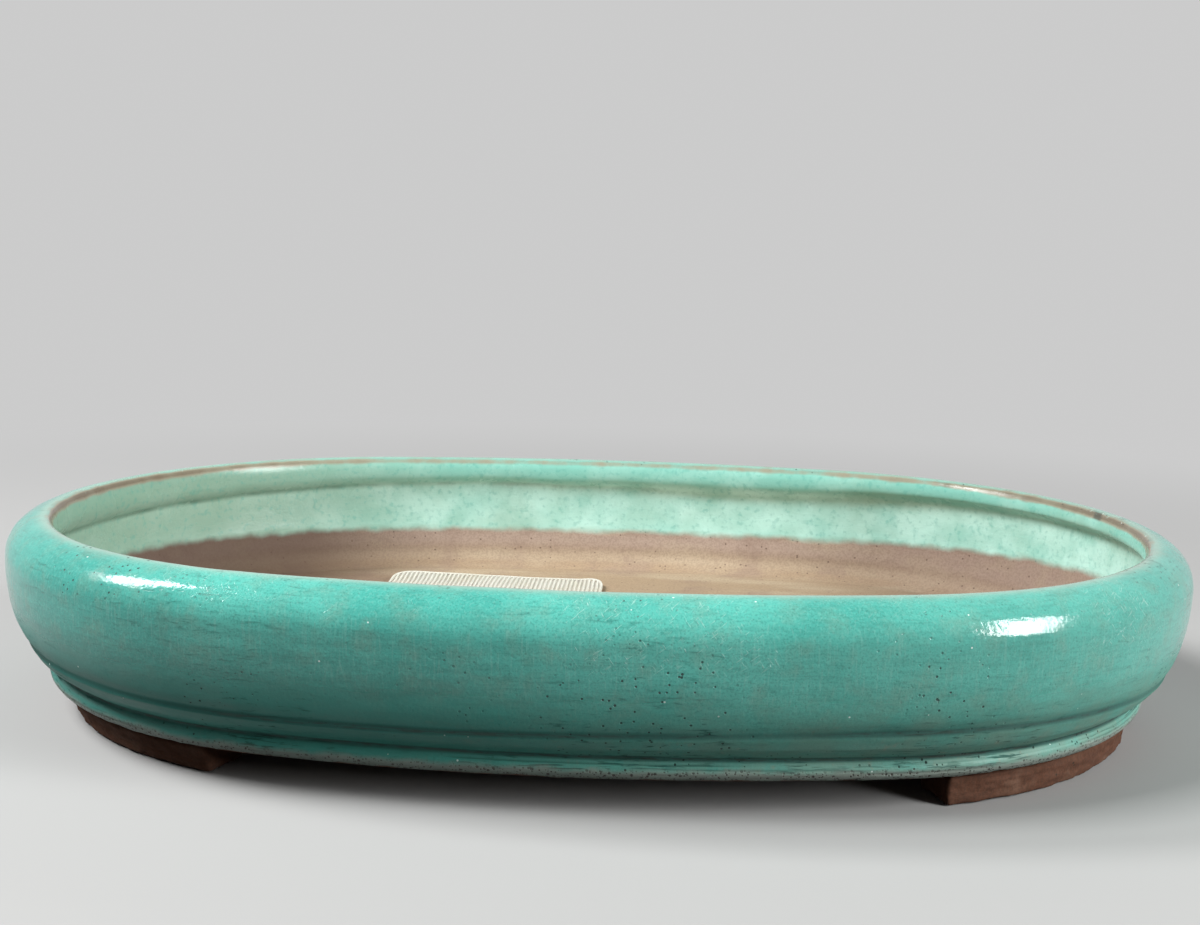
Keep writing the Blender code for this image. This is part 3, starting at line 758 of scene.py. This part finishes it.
class Finish:
    """A material's node tree, with one short call for each kind of node that the finishes use."""

    def __init__(self, name):
        self.material = bpy.data.materials.new(name)
        self.material.use_nodes = True
        self.tree = self.material.node_tree
        self.shader = self.tree.nodes["Principled BSDF"]
        self.place = self.tree.nodes.new("ShaderNodeTexCoord").outputs["Object"]

    def node(self, kind, inputs, **settings):
        """A node with these settings, whose inputs are other nodes' outputs or plain values."""
        made = self.tree.nodes.new(kind)
        for key, value in settings.items():
            setattr(made, key, value)
        for key, value in inputs.items():
            if isinstance(value, bpy.types.NodeSocket):
                self.tree.links.new(value, made.inputs[key])
            else:
                made.inputs[key].default_value = value
        return made

    def math(self, operation, first, second=0.0, third=0.0):
        inputs = {0: first, 1: second, 2: third}
        return self.node("ShaderNodeMath", inputs, operation=operation).outputs[0]

    def times(self, *values):
        """The values multiplied together."""
        product = values[0]
        for value in values[1:]:
            product = self.math("MULTIPLY", product, value)
        return product

    def either(self, first, second):
        """The larger of two values."""
        return self.math("MAXIMUM", first, second)

    def added(self, value, amount, onto):
        """The value times the amount, added onto another."""
        return self.math("MULTIPLY_ADD", value, amount, onto)

    def stretched(self, scale):
        """Coordinates scaled along each axis: less than 1 draws a pattern out."""
        return self.node("ShaderNodeMapping", {"Vector": self.place, "Scale": scale}).outputs[0]

    def drawn_out(self, length, lean):
        """Coordinates that draw a pattern out, this many times, along a line leaning from the upright."""
        turned = (0.0, math.radians(lean), 0.0)
        inputs = {"Vector": self.place, "Rotation": turned, "Scale": (1.0, 10.0, length)}
        return self.node("ShaderNodeMapping", inputs, vector_type="TEXTURE").outputs[0]

    def noise(self, scale, detail=3.0, place=None, distortion=0.0):
        inputs = {"Vector": place or self.place, "Scale": scale}
        inputs |= {"Detail": detail, "Distortion": distortion}
        return self.node("ShaderNodeTexNoise", inputs).outputs[0]

    def ramp(self, value, low, high, to_low=0.0, to_high=1.0):
        """An S-curve from to_low at low to to_high at high."""
        inputs = {"Value": value, "From Min": low, "From Max": high, "To Min": to_low, "To Max": to_high}
        return self.node("ShaderNodeMapRange", inputs, interpolation_type="SMOOTHSTEP").outputs[0]

    def patches(self, scale, detail, *limits):
        """A noise ramped between its limits: from low to high, and what those become."""
        return self.ramp(self.noise(scale, detail), *limits)

    def attribute(self, name):
        return self.node("ShaderNodeAttribute", {}, attribute_name=name).outputs["Fac"]

    def mix(self, factor, first, second):
        """The first colour, given over to the second by the factor."""
        first = first if isinstance(first, bpy.types.NodeSocket) else (*first, 1.0)
        second = second if isinstance(second, bpy.types.NodeSocket) else (*second, 1.0)
        inputs = {0: factor, 6: first, 7: second}
        return self.node("ShaderNodeMix", inputs, data_type="RGBA").outputs[2]

    def blend(self, factor, first, second):
        """The same for two numbers."""
        return self.node("ShaderNodeMix", {0: factor, 2: first, 3: second}, data_type="FLOAT").outputs[0]

    def dots(self, scale, radius, share):
        """1 inside small round dots, one to a cell of a 3-D Voronoi, kept for this share of the cells."""
        cells = self.node("ShaderNodeTexVoronoi", {"Vector": self.place, "Scale": scale})
        size = self.ramp(cells.outputs["Distance"], radius * 0.6, radius, 1.0, 0.0)
        chance = self.node("ShaderNodeSeparateColor", {"Color": cells.outputs["Color"]}).outputs[0]
        return self.times(size, self.math("LESS_THAN", chance, share))

    def bump(self, height):
        """Tilts the surface's shading as a relief of this height, in metres, would."""
        inputs = {"Strength": 1.0, "Distance": 1.0, "Height": height}
        self.tree.links.new(self.node("ShaderNodeBump", inputs).outputs[0], self.shader.inputs["Normal"])

    def finish(self, colour, roughness):
        """Gives the shader its colour and its roughness, and returns the material."""
        self.tree.links.new(colour, self.shader.inputs["Base Color"])
        if isinstance(roughness, bpy.types.NodeSocket):
            self.tree.links.new(roughness, self.shader.inputs["Roughness"])
        else:
            self.shader.inputs["Roughness"].default_value = roughness
        return self.material


# Colours in linear light
JADE = (0.048, 0.390, 0.325)
JADE_LIGHT = (0.105, 0.535, 0.445)
JADE_DARK = (0.030, 0.250, 0.205)
JADE_DEEP = (0.010, 0.070, 0.058)
SPECK_AND_GLINT_PALE = (0.800, 0.950, 0.900)
MINT = (0.430, 0.750, 0.645)
MINT_MILKY = (0.570, 0.900, 0.800)
MINT_GREY = (0.280, 0.430, 0.310)
TURQUOISE = (0.250, 0.620, 0.520)
CREASE_OLIVE_AND_SHADE = (0.060, 0.150, 0.105)
GREY_GREEN = (0.190, 0.330, 0.255)
EDGE_GREY = (0.310, 0.340, 0.300)
RIM_PAINTED_SHEEN = (0.440, 0.560, 0.460)
LIP_BROWN = (0.195, 0.130, 0.080)
LIP_TAN = (0.345, 0.300, 0.215)
PIT_DARK = (0.010, 0.022, 0.019)
PIT_BROWN = (0.028, 0.018, 0.013)
CLAY = (0.128, 0.057, 0.034)
CLAY_DRAGGED = (0.090, 0.042, 0.027)
CLAY_WORN = (0.205, 0.115, 0.076)
CLAY_PAINTED_SHADOW = (0.105, 0.062, 0.044)
CLAY_PURPLE = (0.300, 0.205, 0.165)
CLAY_PINK = (0.455, 0.345, 0.280)
CLAY_SANDY = (0.415, 0.300, 0.198)
GROG_BROWN = (0.120, 0.070, 0.050)
DUST = (0.530, 0.425, 0.305)
CREAM = (0.730, 0.705, 0.630)
CREAM_YELLOWED = (0.620, 0.560, 0.420)
CREAM_SOILED = (0.300, 0.280, 0.220)
WIRE_GREY = (0.560, 0.555, 0.540)
WIRE_DULL = (0.400, 0.390, 0.370)

# Heights between which the outer glaze changes, from where each change starts to where it is full
LOW_DOWN = (31 * MM, 15 * MM)
IN_THE_SHADE = (33 * MM, 22 * MM)
DULL_BELOW = (32 * MM, 20 * MM)
ON_FLANGE = (14.5 * MM, 13 * MM)
SCRATCHED_ABOVE = (29 * MM, 37 * MM)

# Distances from the glaze's edge between which it changes, and how far that edge wanders in colour
EDGE_WANDERS = 2.6 * MM
GREY_EDGE = (4.4 * MM, 2.4 * MM)
PITTED_EDGE = (4.4 * MM, 2.2 * MM)
BARE_OUTSIDE = (0.30 * MM, -0.45 * MM)
BARE_INSIDE = (1.4 * MM, -1.2 * MM)


def grog(look, colour, dark):
    """Fine grain and dark grog in a fired clay. Returns the grained colour and its height."""
    grain = look.noise(1600, 4)
    colour = look.mix(look.ramp(grain, 0.42, 0.62, 0.0, 0.20), colour, dark)
    colour = look.mix(look.times(look.dots(620, 0.22, 0.22), 0.7), colour, dark)
    coarse = look.times(look.noise(420, 4), 0.16 * MM)
    return colour, look.added(grain, 0.07 * MM, coarse)


def inside_clay(look, along, height):
    """The bare clay inside: pinkish under the glaze, sandy lower down, with long dusty streaks, purple
    patches and a painted shadow over the left end. The wall and the floor share it, so that their joint
    doesn't show."""
    low_down = look.ramp(height, 22 * MM, FLOOR_Z + 1 * MM)
    colour = look.mix(low_down, CLAY_PINK, CLAY_SANDY)
    streaks = look.noise(110, 4, look.stretched((0.22, 1.0, 1.0)))
    colour = look.mix(look.ramp(streaks, 0.45, 0.70, 0.0, 0.55), colour, DUST)
    silt = look.times(look.ramp(height, 20 * MM, 17 * MM), look.ramp(height, 14 * MM, 16 * MM))
    colour = look.mix(look.times(silt, 0.45), colour, DUST)
    purple = look.either(look.patches(55, 4, 0.50, 0.70), look.ramp(along, 45 * MM, 115 * MM))
    colour = look.mix(look.times(purple, 0.50), colour, CLAY_PURPLE)
    colour = look.mix(look.patches(300, 5, 0.58, 0.75, 0.0, 0.30), colour, CLAY_PURPLE)
    # Painted shadow: the left end is darkened, on wall and floor alike, where the left rim shades it.
    colour = look.mix(look.ramp(along, -40 * MM, -100 * MM, 0.0, 0.80), colour, CLAY_PAINTED_SHADOW)
    return grog(look, colour, GROG_BROWN)


def glaze_outside(look, along, height, fine, brushed, run):
    """Jade in broad drifts and cloudy mottling, with fine speckle and the faint threads in which it ran,
    a little greyer to the right. Low down it is greyer and spotted with tan, with painted shade that
    darkens it towards the left. Along the rim a pale band is painted reflection."""
    low_down = look.ramp(height, *LOW_DOWN)
    colour = look.mix(look.patches(22, 3, 0.35, 0.65), JADE, JADE_LIGHT)
    colour = look.mix(look.patches(170, 5, 0.44, 0.70, 0.0, 0.40), colour, GREY_GREEN)
    colour = look.mix(look.ramp(fine, 0.48, 0.68, 0.0, 0.50), colour, JADE_LIGHT)
    colour = look.mix(look.patches(2400, 2, 0.50, 0.66, 0.0, 0.45), colour, JADE_DARK)
    colour = look.mix(look.ramp(brushed, 0.48, 0.62, 0.0, 0.22), colour, JADE_DARK)
    colour = look.mix(look.ramp(run, 0.50, 0.72, 0.0, 0.13), colour, MINT)
    colour = look.mix(look.ramp(along, 10 * MM, 110 * MM, 0.0, 0.16), colour, GREY_GREEN)
    toward_right = look.ramp(along, -90 * MM, 100 * MM, 0.35, 1.3)
    greyer = look.times(low_down, look.patches(120, 5, 0.30, 0.62, 0.25, 0.65), toward_right)
    colour = look.mix(greyer, colour, GREY_GREEN)
    tan_spots = look.times(look.patches(520, 3, 0.60, 0.72), low_down, 0.30)
    colour = look.mix(tan_spots, colour, LIP_TAN)
    # Painted shade: low on the wall, more so towards the left end, the jade is darkened where shade falls.
    toward_left = look.ramp(along, 60 * MM, -60 * MM, 0.1, 0.85)
    painted_shade_low_left = look.times(look.ramp(height, *IN_THE_SHADE), toward_left)
    colour = look.mix(painted_shade_low_left, colour, JADE_DARK)
    # Painted reflection: a pale band along the rim's crown stands for the sheen of the surroundings.
    return look.mix(look.times(look.attribute("rim"), 0.60), colour, RIM_PAINTED_SHEEN)


def glaze_inside(look, along, height):
    """Milky mint, turquoise on the thick lip, greyer towards the left end. The crease is olive with
    painted shade, dark where shade falls under the lip, and fainter to the right."""
    colour = look.mix(look.patches(75, 5, 0.36, 0.64), MINT, MINT_MILKY)
    colour = look.mix(look.patches(110, 5, 0.46, 0.70, 0.0, 0.45), colour, TURQUOISE)
    on_lip = look.ramp(height, CREASE_FOOT_Z + 0.5 * MM, CREASE_FOOT_Z + 3 * MM)
    on_lip = look.times(on_lip, look.patches(60, 4, 0.35, 0.60, 0.55, 0.95))
    colour = look.mix(on_lip, colour, TURQUOISE)
    clouds = look.patches(28, 4, 0.52, 0.72, 0.0, 0.35)
    clouds = look.either(clouds, look.ramp(along, -30 * MM, -125 * MM, 0.0, 0.75))
    colour = look.mix(clouds, colour, MINT_GREY)
    colour = look.mix(look.patches(650, 5, 0.50, 0.72, 0.0, 0.32), colour, JADE)
    # Painted shade: the crease is darkened olive where shade falls under the lip's roll, with an olive
    # smear of the glaze in it.
    fainter = look.ramp(along, 30 * MM, 100 * MM, 1.0, 0.3)
    creased = look.times(look.patches(90, 4, 0.35, 0.65, 0.1, 0.6), fainter, look.attribute("crease"))
    return look.mix(creased, colour, CREASE_OLIVE_AND_SHADE)


def brush_streaks(look, height, brushed):
    """Dark streaks that the brush left, in patches, more of them low down and long ones on the flange."""
    often = look.added(look.ramp(height, *LOW_DOWN), 0.5, 0.5)
    streak = look.times(look.patches(34, 2, 0.44, 0.62), often, look.ramp(brushed, 0.60, 0.68))
    dragged = look.noise(2300, 4, look.stretched((0.05, 0.05, 1.0)))
    on_flange = look.times(look.ramp(height, *ON_FLANGE), look.patches(40, 2, 0.42, 0.56))
    return look.either(streak, look.times(look.ramp(dragged, 0.56, 0.62), on_flange))


def scattered_pinholes(look):
    """Pinholes of two sizes, most of them in clusters."""
    cluster = look.patches(30, 2, 0.48, 0.60, 0.15, 1.0)
    return look.times(look.either(look.dots(330, 0.12, 0.75), look.dots(620, 0.20, 0.6)), cluster)


def scratches(look, height):
    """Fine hairs that lean both ways, in patches high on the wall."""
    one_way = look.ramp(look.noise(3300, 2, look.drawn_out(12, 52)), 0.62, 0.72)
    other_way = look.ramp(look.noise(3600, 2, look.drawn_out(9, -35)), 0.63, 0.73)
    rubbed = look.times(look.patches(24, 3, 0.50, 0.62), look.ramp(height, *SCRATCHED_ABOVE))
    return look.times(look.either(one_way, other_way), rubbed)


def pooled_and_shaded(look, pool_and_shade, brushed, colour):
    """The glaze goes dark in the grooves, partly where it pools and partly as painted shade, with broken
    bare lines at their bottom.
    """
    # Painted shade: the grooves are darkened to near black, partly glaze pooled thick and partly the shade
    # that falls in them.
    colour = look.mix(look.ramp(pool_and_shade, 0.1, 0.9, 0.0, 0.86), colour, JADE_DEEP)
    bare_line = look.times(look.ramp(pool_and_shade, 0.70, 1.0), look.ramp(brushed, 0.44, 0.56), 0.6)
    return look.mix(bare_line, colour, PIT_BROWN)


def worn_lip(look, along, colour):
    """The lip is tan where the glaze is thin, brown where it is thinnest, and burnt at the right."""
    wear = look.added(look.noise(130, 5), 0.7, look.math("SUBTRACT", look.attribute("thin"), 0.35))
    lip = look.mix(look.ramp(wear, 0.45, 0.95), LIP_TAN, LIP_BROWN)
    burnt = look.times(look.patches(90, 2, 0.58, 0.66), look.ramp(along, 95 * MM, 112 * MM), 0.7)
    lip = look.mix(burnt, lip, PIT_BROWN)
    return look.mix(look.ramp(wear, 0.15, 0.55, 0.0, 0.92), colour, lip)


def glaze_finish():
    """Jade glaze over red clay: brown at the lip, dark in the grooves where it pools and takes painted
    shade, grey and pitted where it ends.
    """
    look = Finish("jade_glaze")
    look.shader.inputs["IOR"].default_value = 1.55
    inside, pool_and_shade = look.attribute("inside"), look.attribute("pool_and_shade")
    outer = look.math("SUBTRACT", 1.0, inside)
    split = look.node("ShaderNodeSeparateXYZ", {"Vector": look.place})
    along, height = split.outputs[0], split.outputs[2]
    fine = look.noise(1300, 3)
    brushed = look.noise(1500, 5, look.stretched((0.14, 0.14, 1.0)), 0.6)
    run = look.noise(1900, 3, look.stretched((1.0, 1.0, 0.06)))
    colour = glaze_outside(look, along, height, fine, brushed, run)
    colour = look.mix(inside, colour, glaze_inside(look, along, height))
    streak = look.times(brush_streaks(look, height, brushed), outer)
    colour = look.mix(look.times(streak, 0.75), colour, JADE_DEEP)
    colour = worn_lip(look, along, pooled_and_shaded(look, pool_and_shade, brushed, colour))
    pinholes = look.times(scattered_pinholes(look), outer)
    colour = look.mix(look.times(pinholes, 0.90), colour, PIT_DARK)
    # Pale specks in the glaze, painted near white so that they also stand for glints of light.
    specks_and_glints = look.times(look.dots(170, 0.045, 0.7), outer)
    colour = look.mix(specks_and_glints, colour, SPECK_AND_GLINT_PALE)
    # Scratches painted pale: partly scratched glaze, partly painted glints where they catch the light.
    scratch_and_glint = look.times(scratches(look, height), outer)
    colour = look.mix(look.times(scratch_and_glint, 0.30), colour, MINT_MILKY)
    # The edge where the glaze ends: outside grey and pitted, inside a soft fade to the clay
    centred = look.math("SUBTRACT", look.attribute("glaze_edge"), EDGE_WANDERS / 2)
    wander = look.added(look.noise(150, 5), EDGE_WANDERS, centred)
    near_edge = look.times(look.ramp(wander, *GREY_EDGE), outer, 0.80)
    colour = look.mix(near_edge, colour, EDGE_GREY)
    pits = look.either(look.dots(800, 0.36, 0.8), look.dots(1500, 0.40, 0.6))
    pits = look.times(pits, look.patches(1700, 3, 0.36, 0.50), look.ramp(wander, *PITTED_EDGE), outer)
    colour = look.mix(look.times(pits, 0.92), colour, PIT_BROWN)
    clay, clay_height = inside_clay(look, along, height)
    below, _ = grog(look, CLAY, PIT_DARK)
    bare = look.blend(inside, look.ramp(wander, *BARE_OUTSIDE), look.ramp(wander, *BARE_INSIDE))
    colour = look.mix(bare, colour, look.mix(inside, below, clay))
    # The lower wall, the grooves and the inside are duller
    rough = look.patches(80, 4, 0.3, 0.7, 0.08, 0.17)
    dull_below, in_groove = look.ramp(height, *DULL_BELOW), look.ramp(pool_and_shade, 0.1, 0.6)
    for mark, duller in ((streak, 0.3), (dull_below, 0.42), (in_groove, 0.25), (inside, 0.14)):
        rough = look.added(mark, duller, rough)
    rough = look.blend(bare, look.added(pinholes, 0.4, rough), 0.9)
    # How many millimetres each mark stands out of the skin, or is cut into it
    texture = ((brushed, 0.025), (fine, 0.045), (run, 0.003))
    flaws = ((streak, -0.020), (scratch_and_glint, 0.035), (pinholes, -0.120), (pits, -0.120))
    skin = look.times(look.noise(480, 3), 0.060 * MM)
    for mark, relief in texture + flaws:
        skin = look.added(mark, relief * MM, skin)
    look.bump(look.blend(bare, skin, clay_height))
    return look.finish(colour, rough)


def floor_finish():
    """Bare clay, dusty where soil has stood, with painted shadow at the left end."""
    look = Finish("floor_clay")
    look.shader.inputs["Specular IOR Level"].default_value = 0.25
    split = look.node("ShaderNodeSeparateXYZ", {"Vector": look.place})
    colour, bumps = inside_clay(look, split.outputs[0], split.outputs[2])
    look.bump(bumps)
    return look.finish(colour, 0.9)


def foot_finish():
    """Rough red-brown clay, worn paler in patches and drawn out in streaks by the tool that cut it."""
    look = Finish("foot_clay")
    look.shader.inputs["Specular IOR Level"].default_value = 0.2
    drag = look.noise(700, 4, look.stretched((0.25, 0.25, 1.0)))
    colour = look.mix(look.ramp(drag, 0.45, 0.70, 0.0, 0.45), CLAY, CLAY_DRAGGED)
    colour = look.mix(look.patches(160, 5, 0.52, 0.70, 0.0, 0.55), colour, CLAY_WORN)
    colour, bumps = grog(look, colour, PIT_DARK)
    look.bump(look.added(drag, 0.20 * MM, bumps))
    return look.finish(colour, look.patches(90, 3, 0.3, 0.7, 0.80, 0.95))


def net_finish():
    """Cream plastic, a little yellowed and soiled in patches."""
    look = Finish("cream_plastic")
    colour = look.mix(look.patches(70, 4, 0.40, 0.70, 0.0, 0.35), CREAM, CREAM_YELLOWED)
    colour = look.mix(look.patches(210, 3, 0.62, 0.75, 0.0, 0.5), colour, CREAM_SOILED)
    look.bump(look.times(look.noise(3000, 2), 0.02 * MM))
    return look.finish(colour, look.patches(300, 2, 0.3, 0.7, 0.38, 0.55))


def wire_finish():
    """Drawn soft aluminium, dulled unevenly."""
    look = Finish("clip_aluminium")
    look.shader.inputs["Metallic"].default_value = 1.0
    dull = look.noise(400, 4)
    colour = look.mix(look.ramp(dull, 0.35, 0.7), WIRE_GREY, WIRE_DULL)
    look.bump(look.times(look.noise(5000, 2), 0.008 * MM))
    return look.finish(colour, look.ramp(dull, 0.3, 0.7, 0.28, 0.5))


def add_piece(piece, finish, slot, *nodes):
    """Gives the piece its finish, sets it on the body root, and hides the CAD nodes that it stands for."""
    piece.data.materials.append(finish)
    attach(piece, "root")
    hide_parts(*nodes)


def make_pot():
    add_piece(make_wall(), glaze_finish(), "glaze", "pot_wall")
    add_piece(make_floor(), floor_finish(), "floor_clay", "floor_slab")
    foot_clay = foot_finish()
    net_plastic, clip_wire = net_finish(), wire_finish()
    for side, end_word in ((-1, "left"), (1, "right")):
        for depth, face_word in ((-1, "front"), (1, "back")):
            words = f"{face_word}_{end_word}"
            lean = FRONT_RIGHT_LEAN if words == "front_right" else FOOT_LEAN
            foot = make_foot(f"clay_foot_{words}", side, depth, lean, 80 + 10 * side + 5 * depth)
            add_piece(foot, foot_clay, "foot_clay", f"foot_{words}")
        net = make_net(f"plastic_net_{end_word}", f"drainage_mesh_{end_word}", 120 + side)
        add_piece(net, net_plastic, "net_plastic", f"drainage_mesh_{end_word}")
        clip = make_clip(f"wire_clip_{end_word}", f"mesh_clip_{end_word}", 130 + side)
        add_piece(clip, clip_wire, "clip_wire", f"mesh_clip_{end_word}")


# Camera, fitted to the pot's outlines in the photograph
IMAGE_WIDTH = 1200
NEAREST_SEEN = 10 * MM
FOCAL_PIXELS = 1581.14
SENSOR_WIDTH = 36.0
CAMERA_PLACE = (18.98 * MM, -407.38 * MM, 119.50 * MM)
CAMERA_YAW = math.radians(-2.61)
CAMERA_DIP = math.radians(8.21)
CAMERA_ROLL = math.radians(1.38)

# Lamps: width, height, place, aim, turn about the aim in degrees, power, and whether the glaze mirrors it
LAMPS = (
    ("left_lamp", 0.22, 0.38, (-0.80, -0.02, 0.74), (-0.09, -0.087, 0.045), 14, 6.8, True),
    ("right_lamp", 0.32, 0.62, (0.93, -0.46, 0.45), (0.093, -0.089, 0.043), -28, 12.2, True),
    ("front_softbox", 0.45, 0.35, (-0.63, -0.39, 0.97), (0.0, 0.0, 0.03), 0, 11.4, False),
    ("back_softbox", 0.90, 0.60, (0.35, 0.95, 0.65), (0.0, 0.0, 0.03), 0, 2.0, False),
)
PAPER = (0.46, 0.46, 0.455)
BACKDROP = 0.60
AMBIENT = 0.03
BOUNCE = (0.03, 0.03, 0.03)
FLOOR_FADES = (0.18, 0.60)
STAGE_RADIUS = 6


def make_camera():
    yaw, dip, roll = CAMERA_YAW, CAMERA_DIP, CAMERA_ROLL
    ahead = Vector((math.sin(yaw) * math.cos(dip), math.cos(yaw) * math.cos(dip), -math.sin(dip)))
    level = Vector((math.cos(yaw), -math.sin(yaw), 0))
    upright = level.cross(ahead)
    right = math.cos(roll) * level + math.sin(roll) * upright
    up = math.cos(roll) * upright - math.sin(roll) * level
    data = bpy.data.cameras.new("photo_camera")
    data.sensor_width = SENSOR_WIDTH
    data.lens = FOCAL_PIXELS / IMAGE_WIDTH * SENSOR_WIDTH
    data.clip_start = NEAREST_SEEN
    camera = bpy.data.objects.new("photo_camera", data)
    turned = Matrix((right, up, -ahead)).transposed().to_4x4()
    camera.matrix_world = Matrix.Translation(CAMERA_PLACE) @ turned
    bpy.context.scene.collection.objects.link(camera)
    bpy.context.scene.camera = camera


def make_lamps():
    for name, width, height, place, aim, turn, power, mirrored in LAMPS:
        data = bpy.data.lights.new(name, "AREA")
        data.shape = "RECTANGLE"
        data.size = width
        data.size_y = height
        data.energy = power
        lamp = bpy.data.objects.new(name, data)
        toward = Vector(aim) - Vector(place)
        pointed = toward.to_track_quat("-Z", "Y").to_matrix() @ Matrix.Rotation(math.radians(turn), 3, "Z")
        lamp.matrix_world = Matrix.Translation(place) @ pointed.to_4x4()
        lamp.visible_camera = False
        lamp.visible_glossy = mirrored
        bpy.context.scene.collection.objects.link(lamp)


def seen_directly(tree):
    """1 for rays that show the backdrop: from the camera, in a reflection or through glass."""
    rays = tree.nodes.new("ShaderNodeLightPath").outputs
    total = rays["Is Camera Ray"]
    for name in ("Is Glossy Ray", "Is Transmission Ray"):
        summed = tree.nodes.new("ShaderNodeMath")
        summed.operation = "MAXIMUM"
        tree.links.new(total, summed.inputs[0])
        tree.links.new(rays[name], summed.inputs[1])
        total = summed.outputs[0]
    return total


def make_stage():
    """A pale floor that throws little light back up. Away from the pot it fades into the pale world."""
    at_pot = (0, 0, 0)
    bpy.ops.mesh.primitive_circle_add(vertices=96, radius=STAGE_RADIUS, fill_type="NGON", location=at_pot)
    floor = bpy.context.object
    floor.name = "studio_floor"
    look = Finish("pale_floor")
    seen = seen_directly(look.tree)
    look.shader.inputs["Specular IOR Level"].default_value = 0.1
    away = look.node("ShaderNodeVectorMath", {0: look.place}, operation="LENGTH").outputs["Value"]
    fade = look.math("MULTIPLY", seen, look.ramp(away, *FLOOR_FADES))
    haze = look.node("ShaderNodeEmission", {"Color": (1, 1, 1, 1), "Strength": BACKDROP})
    look.finish(look.mix(seen, BOUNCE, PAPER), 0.95)
    surface = look.node("ShaderNodeMixShader", {0: fade})
    look.tree.links.new(look.shader.outputs[0], surface.inputs[1])
    look.tree.links.new(haze.outputs[0], surface.inputs[2])
    output = look.tree.nodes["Material Output"]
    look.tree.links.new(surface.outputs[0], output.inputs["Surface"])
    floor.data.materials.append(look.material)
    world = bpy.data.worlds.new("studio_world")
    world.use_nodes = True
    bpy.context.scene.world = world
    tree = world.node_tree
    background = tree.nodes["Background"]
    background.inputs["Color"].default_value = (1, 1, 1, 1)
    strength = tree.nodes.new("ShaderNodeMix")
    strength.inputs[2].default_value = AMBIENT
    strength.inputs[3].default_value = BACKDROP
    tree.links.new(seen_directly(tree), strength.inputs[0])
    tree.links.new(strength.outputs[0], background.inputs["Strength"])


make_camera()
make_lamps()
make_stage()
make_pot()
bpy.context.scene.view_settings.view_transform = "Standard"
